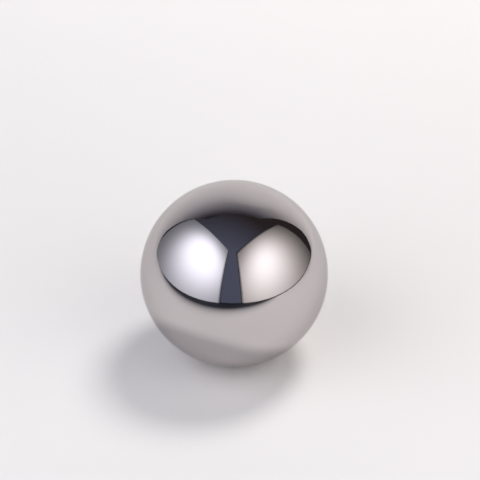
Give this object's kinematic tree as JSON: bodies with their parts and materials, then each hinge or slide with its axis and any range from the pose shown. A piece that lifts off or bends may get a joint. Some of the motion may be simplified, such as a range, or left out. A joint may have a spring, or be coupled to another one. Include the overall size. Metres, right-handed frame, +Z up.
{
  "type": "steel ball",
  "caption": "Solid steel ball, ground and polished to a mirror, that rolls, weighs down or seats in a cup or socket.",
  "frame": {"origin": "centre of the ball", "axes": "+Z up; the ball is the same about every axis through its centre, so X and Y are free"},
  "size_m": [0.0508, 0.0508, 0.0508],
  "materials": {
    "polished_steel": "mirror polish"
  },
  "bodies": {
    "root": {"steel_ball": "polished_steel"}
  },
  "joints": []
}
